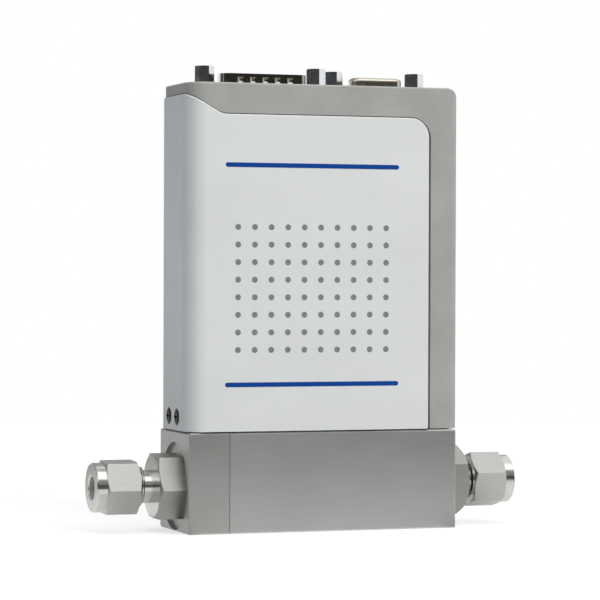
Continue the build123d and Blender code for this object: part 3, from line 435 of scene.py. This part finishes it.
# ------------------------------------------------------------ circuit boards
# Woven glass and epoxy boards under green solder mask; the weave shows through as a
# faint cross-hatch about 0.5 mm apart.
weave_pitch = 0.5 * MM
board_face, tree, place, shader = blank_finish(
    "fr4_green_mask", Metallic=0.0, Roughness=0.3, Coat_Weight=0.4
)
weave = node(
    tree, "ShaderNodeTexBrick",
    {"Vector": place, "Scale": 1 / weave_pitch, "Color1": colour("#1E5B35"),
     "Color2": colour("#226340"), "Mortar": colour("#174A2A"), "Mortar Size": 0.04},
)
tree.links.new(weave.outputs["Color"], shader.inputs["Base Color"])
dress(board_face, "main_board", "connector_board")


# Black plastics: glass-filled PBT connector bodies and the coil's reel, and the chips'
# moulded epoxy. Moulded against a fine spark-eroded tool, so they are satin.
spark_grain = 0.25 * MM
spark_depth = 0.006 * MM
dress(
    mottled("black_glass_filled_pbt", (spark_grain, spark_grain, spark_grain),
            "#17181A", "#25272A", (0.38, 0.52), spark_depth, Metallic=0.0),
    "board_chips", "board_header", "coil_bobbin", "plug_insulator", "socket_insulator",
)


# ------------------------------------------------------------------ top shell
# Die-cast aluminium shell, shot-blasted and painted a warm grey. The paint follows the
# blasted skin, a fine pebble about 0.3 mm across, and pools very slightly in patches.
blast_pebble = 0.32 * MM
blast_depth = 0.006 * MM
paint_drift = 12 * MM
shell_paint, tree, place, shader = blank_finish("grey_paint_on_blasted_casting", Metallic=0.0)
pebble = grain(tree, place, (blast_pebble, blast_pebble, blast_pebble), 3.0, 0.6)
drift = grain(tree, place, (paint_drift, paint_drift, paint_drift), 2.0)
tone = node(tree, "ShaderNodeMath", {0: pebble, 1: drift}, operation="ADD")
shade(tree, shader, tone, "#9C9C97", "#A9A9A4", span=two_noise_span)
shade(tree, shader, pebble, dullness=(0.46, 0.58), depth=blast_depth)
dress(shell_paint, "top_shell")


# ----------------------------------------------------------------- wrap cover
# White ABS/PC cover, injection moulded in one piece that clips round the shell. The
# tool was lightly textured, so the skin is satin with a very fine grain.
mould_grain = 0.25 * MM
mould_depth = 0.0025 * MM
flow_mark = (30 * MM, 30 * MM, 18 * MM)
cover_plastic, tree, place, shader = blank_finish(
    "white_moulded_abs", Metallic=0.0, IOR=1.52
)
skin = grain(tree, place, (mould_grain, mould_grain, mould_grain), 3.0, 0.6)
shade(tree, shader, grain(tree, place, flow_mark, 2.0), "#D7D9D7", "#DCDEDC")
shade(tree, shader, skin, dullness=(0.38, 0.48), depth=mould_depth)
dress(cover_plastic, "wrap_cover")


# ---------------------------------------------------------------- cover print
# Pad-printed ink on the cover's front: two blue rules with round ends, and a plain
# straight field of grey dots between them. The film stands 0.02 mm proud.
ink_film = 0.02 * MM
ink_bite = 0.03 * MM
ink_patch = 0.5 * MM
rule_height = 1.3 * MM
rule_end_steps = 12
rule_left = -29.6 * MM
rule_right = 22.1 * MM
rule_levels = {"upper": 102.85 * MM, "lower": 41.55 * MM}
dot_columns = 10
dot_rows = 8
dot_pitch = 4.9 * MM
dot_radius = 0.85 * MM
dot_sides = 28
dot_field_centre = (-3.8 * MM, 68.4 * MM)
cover_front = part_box("wrap_cover")[0].y


def ink(name, deep, thin):
    """Opaque pad-print ink, dried matt and slightly uneven where the pad lifted."""
    return mottled(name, (ink_patch, ink_patch, ink_patch), deep, thin,
                   Metallic=0.0, Roughness=0.5, Specular_IOR_Level=0.22)


blue_ink = ink("blue_pad_print_ink", "#003B8B", "#00428F")
grey_ink = ink("grey_pad_print_ink", "#777D7B", "#818785")


def printed_rule(name, level):
    """A bar of ink with half-round ends, laid on the cover's front."""
    half = rule_height / 2
    outline = []
    for middle, first in ((rule_right - half, -90), (rule_left + half, 90)):
        for step in range(rule_end_steps + 1):
            angle = radians(first + step * 180 / rule_end_steps)
            outline.append((middle + half * cos(angle), level + half * sin(angle)))
    shape = bmesh.new()
    back = [shape.verts.new((x, cover_front + ink_bite, z)) for x, z in outline]
    front = [shape.verts.new((x, cover_front - ink_film, z)) for x, z in outline]
    shape.faces.new(front)
    shape.faces.new(back[::-1])
    count = len(outline)
    for index in range(count):
        after = (index + 1) % count
        shape.faces.new((front[index], back[index], back[after], front[after]))
    bmesh.ops.recalc_face_normals(shape, faces=shape.faces)
    mesh = bpy.data.meshes.new(name)
    shape.to_mesh(mesh)
    shape.free()
    mesh.materials.append(blue_ink)
    made = bpy.data.objects.new(name, mesh)
    bpy.context.collection.objects.link(made)
    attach(made, BODY)


for side, level in rule_levels.items():
    printed_rule(side + "_blue_rule", level)


def dot_tree():
    """Geometry Nodes tree of a straight field of ink dots in the XY plane."""
    tree, given = opened_tree("dot_field", {
        "Columns": "Int", "Rows": "Int", "Pitch": "Float", "Dot Radius": "Float",
        "Dot Sides": "Int", "Film": "Float", "Finish": "Material",
    })
    spans = []
    for count in ("Columns", "Rows"):
        gaps = node(tree, "ShaderNodeMath", {0: given[count], 1: 1.0}, operation="SUBTRACT")
        spans.append(
            node(tree, "ShaderNodeMath", {0: gaps, 1: given["Pitch"]}, operation="MULTIPLY")
        )
    field = node(tree, "GeometryNodeMeshGrid", {
        "Size X": spans[0], "Size Y": spans[1],
        "Vertices X": given["Columns"], "Vertices Y": given["Rows"],
    })
    dot = node(tree, "GeometryNodeMeshCylinder", {
        "Vertices": given["Dot Sides"], "Radius": given["Dot Radius"], "Depth": given["Film"],
    })
    laid = node(tree, "GeometryNodeInstanceOnPoints", {"Points": field, "Instance": dot})
    close_tree(tree, laid, given["Finish"])
    return tree


film_middle = cover_front + (ink_bite - ink_film) / 2
onto_front = Matrix.Translation((dot_field_centre[0], film_middle, dot_field_centre[1]))
grown(
    "grey_dot_field", dot_tree(),
    {"Columns": dot_columns, "Rows": dot_rows, "Pitch": dot_pitch, "Dot Radius": dot_radius,
     "Dot Sides": dot_sides, "Film": ink_film + ink_bite, "Finish": grey_ink},
    onto_front @ Matrix.Rotation(radians(90), 4, "X"), BODY,
)


# --------------------------------------------------------------- cover screws
# Cross-recessed pan-head screws of blackened steel, two through the cover's foot at
# the inlet and two through the shell at the outlet. Black oxide dulls the steel.
oxide_patch = 0.6 * MM
rubbed_span = (0.4, 0.75)
blackened, tree, place, shader = blank_finish("blackened_steel_screw", Metallic=0.85)
oxide = grain(tree, place, (oxide_patch, oxide_patch, oxide_patch), 4.0)
shade(tree, shader, oxide, "#1E2023", "#34373B", span=rubbed_span)
shade(tree, shader, oxide, dullness=(0.3, 0.44))
dress(blackened, "cover_screws")


# ------------------------------------------------------------- D connectors
# A 15-way plug and a 9-way socket. Each has a drawn steel shell with bright tin over
# nickel, a black insulator, and gold-flashed contacts; the plug's shell is dimpled.
tin_patch = (1.2 * MM, 1.2 * MM, 1.2 * MM)
contact_rub = (0.4 * MM, 0.4 * MM, 1.5 * MM)
# Both shells carry the same tin. The plug's is set darker as painted shade and the socket's
# lighter as painted light, and the plug's is the glossier of the two.
dress(
    mottled("bright_tin_with_painted_shade_on_dimpled_steel", tin_patch, "#9A948A", "#A7A197", (0.12, 0.17),
            detail=4.0, Metallic=1.0),
    "plug_shell",
)
dress(
    mottled("satin_tin_with_painted_light_on_drawn_steel", tin_patch, "#C4BEB2", "#D0CABE", (0.2, 0.25),
            detail=4.0, Metallic=1.0),
    "socket_shell",
)
dress(
    mottled("gold_flash_on_nickel", contact_rub, "#BE9440", "#D9B45C", (0.16, 0.28),
            Metallic=1.0),
    "plug_pins", "socket_contacts",
)


# Jack screws: hexagon standoffs turned from 4.76 mm bar, tapped 4-40 in their tops and
# nickel plated. The bright plate shows as dark or white as whatever it faces.
plate_stain = (0.9 * MM, 0.9 * MM, 2 * MM)
dress(
    mottled("bright_nickel_plate", plate_stain, "#DADDE0", "#E6E8EA", (0.1, 0.16),
            detail=4.0, Metallic=1.0),
    "plug_jack_screws", "socket_jack_screws",
)


# ------------------------------------------------------------ table and studio
# A white table and a white surround, both white to the camera; the table keeps the
# object's soft shadow. To glossy rays the table is a glow instead: a painted pool of
# light that fades outwards, with painted shadow under and behind the fittings.
ambient_level = 0.36
table_bounce = 0.5
table_glow = 0.62
table_radius = 0.6
table_sides = 96
pool_inner = 0.06
pool_outer = 0.3
pool_level = 1.05
pool_edge_level = 0.34
shade_starts = (0.036, 0.04)
shade_ends = (0.054, 0.066)
shade_front = (-0.034, -0.02)
shade_back = (0.05, 0.07)
shaded_level = 0.56
pure_white = (1, 1, 1, 1)


def seen_directly(tree):
    """1 for camera, glossy and transmission rays, and 0 for the rest."""
    rays = node(tree, "ShaderNodeLightPath").outputs
    seen = rays["Is Camera Ray"]
    for other in ("Is Glossy Ray", "Is Transmission Ray"):
        seen = node(tree, "ShaderNodeMath", {0: seen, 1: rays[other]}, operation="MAXIMUM")
    return seen


world = bpy.data.worlds.new("white_studio")
bpy.context.scene.world = world
world.use_nodes = True
tree = world.node_tree
tree.nodes.clear()
fill = node(
    tree, "ShaderNodeBackground", {"Color": colour("#F4F8FC"), "Strength": ambient_level}
)
white = node(tree, "ShaderNodeBackground", {"Color": pure_white, "Strength": 1.0})
surround = node(tree, "ShaderNodeMixShader", {"Fac": seen_directly(tree), 1: fill, 2: white})
node(tree, "ShaderNodeOutputWorld", {"Surface": surround})

table_top = bpy.data.materials.new("white_table")
table_top.use_nodes = True
tree = table_top.node_tree
tree.nodes.clear()
matt = node(
    tree, "ShaderNodeBsdfDiffuse", {"Color": (table_bounce, table_bounce, table_bounce, 1)}
)
glow = node(tree, "ShaderNodeEmission", {"Color": pure_white, "Strength": table_glow})
lit = node(tree, "ShaderNodeAddShader", {0: matt, 1: glow})
plain = node(tree, "ShaderNodeMixShader", {"Fac": seen_directly(tree), 1: matt, 2: lit})
spot = node(tree, "ShaderNodeTexCoord").outputs["Object"]
reach = node(tree, "ShaderNodeVectorMath", {0: spot}, operation="LENGTH")
# Painted pool of light for glossy rays, bright near the object and fading outwards.
pool = node(
    tree, "ShaderNodeMapRange",
    {"Value": reach, "From Min": pool_inner, "From Max": pool_outer,
     "To Min": pool_level, "To Max": pool_edge_level},
)
# Painted shadow on that pool, under and behind the fittings.
spot_parts = node(tree, "ShaderNodeSeparateXYZ", {"Vector": spot}).outputs
outward = node(tree, "ShaderNodeMath", {0: spot_parts["X"]}, operation="ABSOLUTE")
painted_table_shadow = 0.0
for distance, span, before, after in (
    (outward, shade_starts, 1.0, shaded_level),
    (outward, shade_ends, shaded_level, 1.0),
    (spot_parts["Y"], shade_front, 1.0, shaded_level),
    (spot_parts["Y"], shade_back, shaded_level, 1.0),
):
    side = node(
        tree, "ShaderNodeMapRange",
        {"Value": distance, "From Min": span[0], "From Max": span[1],
         "To Min": before, "To Max": after},
    )
    painted_table_shadow = node(tree, "ShaderNodeMath", {0: painted_table_shadow, 1: side}, operation="MAXIMUM")
level = node(tree, "ShaderNodeMath", {0: pool, 1: painted_table_shadow}, operation="MULTIPLY")
pooled = node(tree, "ShaderNodeEmission", {"Color": pure_white, "Strength": level})
glossy = node(tree, "ShaderNodeLightPath").outputs["Is Glossy Ray"]
mirrored = node(tree, "ShaderNodeMixShader", {"Fac": glossy, 1: plain, 2: pooled})
node(tree, "ShaderNodeOutputMaterial", {"Surface": mirrored})

disc = bmesh.new()
bmesh.ops.create_circle(disc, cap_ends=True, segments=table_sides, radius=table_radius)
table_mesh = bpy.data.meshes.new("table")
disc.to_mesh(table_mesh)
disc.free()
table_mesh.materials.append(table_top)
table_mesh.transform(Matrix.Translation((0, 0, cad_box[0].z)))
table = bpy.data.objects.new("table", table_mesh)
bpy.context.collection.objects.link(table)


# Studio walls: glowing arcs round the table, dark and low in front with a dim band
# above, pale and white behind, open to the right, and a bright card high in front.
# Only mirror-like surfaces see them: they are painted reflections for polished metal.
wall_radius = 1.5
wall_step = 5


def studio_wall(name, first, last, wall_bottom, wall_top, level):
    """An arc between two angles in degrees from +X, glowing evenly as a painted reflection."""
    painted_reflection_sheet = bpy.data.materials.new(name + "_cloth")
    painted_reflection_sheet.use_nodes = True
    painted_reflection_sheet.node_tree.nodes.clear()
    glow = node(
        painted_reflection_sheet.node_tree, "ShaderNodeEmission", {"Color": pure_white, "Strength": level}
    )
    node(painted_reflection_sheet.node_tree, "ShaderNodeOutputMaterial", {"Surface": glow})
    corners, faces = [], []
    for angle in range(first, last + 1, wall_step):
        x = wall_radius * cos(radians(angle))
        y = wall_radius * sin(radians(angle))
        corners += [(x, y, wall_bottom), (x, y, wall_top)]
    for column in range(0, len(corners) - 2, 2):
        faces.append((column, column + 1, column + 3, column + 2))
    mesh = bpy.data.meshes.new(name)
    mesh.from_pydata(corners, [], faces)
    mesh.materials.append(painted_reflection_sheet)
    wall = bpy.data.objects.new(name, mesh)
    wall.visible_camera = False
    wall.visible_diffuse = False
    wall.visible_shadow = False
    bpy.context.collection.objects.link(wall)


# First and last angle, bottom and top in metres, and glow.
studio_wall("dark_front", 180, 325, -0.4, 0.42, 0.05)
studio_wall("dim_front", 240, 325, 0.42, 1.3, 0.3)
studio_wall("pale_back", 60, 100, -0.4, 0.31, 1.1)
studio_wall("white_back", 100, 180, -0.4, 0.18, 1.05)
studio_wall("dark_back", 100, 135, 0.18, 0.31, 0.04)
studio_wall("dim_back", 60, 180, 0.31, 3.0, 0.4)
studio_wall("bright_card", 240, 330, 1.3, 4.6, 2.0)


def softbox(name, place, size, power, tint="#FFFFFF"):
    """A square diffused lamp that faces the middle of the object, out of its mirrors."""
    lamp = bpy.data.lights.new(name, "AREA")
    lamp.color = colour(tint)[:3]
    lamp.shape = "SQUARE"
    lamp.size = size
    lamp.energy = power
    holder = bpy.data.objects.new(name, lamp)
    aim = Vector((0, 0, cad_box[1].z / 2)) - Vector(place)
    holder.visible_glossy = False
    holder.location = place
    holder.rotation_euler = aim.to_track_quat("-Z", "Y").to_euler()
    bpy.context.collection.objects.link(holder)


# Place in metres, size, power in watts and tint.
softbox("front_softbox", (0.46, -1.12, 0.75), 0.9, 13.8)
softbox("overhead_softbox", (0.1, 0.1, 1.3), 1.0, 7.5)
softbox("left_softbox", (-1.2, 0.3, 0.5), 0.9, 0.6, "#8FC2FA")


# Camera: a long lens at the height of the housing's middle, turned a little to the left
# of the front, so that the printed side and the inlet end both show.
focal_pixels = 2806
picture_pixels = 600
camera_place = Vector((-268.044, -757.152, 72.863)) * MM
camera_yaw = radians(19.32)
camera_dip = radians(0.558)
camera_roll = radians(0.2)

camera = bpy.data.cameras.new("camera")
camera.sensor_width = 36
camera.lens = focal_pixels * camera.sensor_width / picture_pixels
camera.clip_start = 0.05
camera.clip_end = 10
ahead = Vector((
    sin(camera_yaw) * cos(camera_dip), cos(camera_yaw) * cos(camera_dip), -sin(camera_dip)
))
level_right = Vector((cos(camera_yaw), -sin(camera_yaw), 0))
level_up = level_right.cross(ahead)
right = level_right * cos(camera_roll) + level_up * sin(camera_roll)
up = level_up * cos(camera_roll) - level_right * sin(camera_roll)
stand = bpy.data.objects.new("camera", camera)
camera_turn = Matrix((right, up, -ahead)).transposed().to_4x4()
stand.matrix_world = Matrix.Translation(camera_place) @ camera_turn
bpy.context.collection.objects.link(stand)
bpy.context.scene.camera = stand
bpy.context.scene.view_settings.view_transform = "Standard"
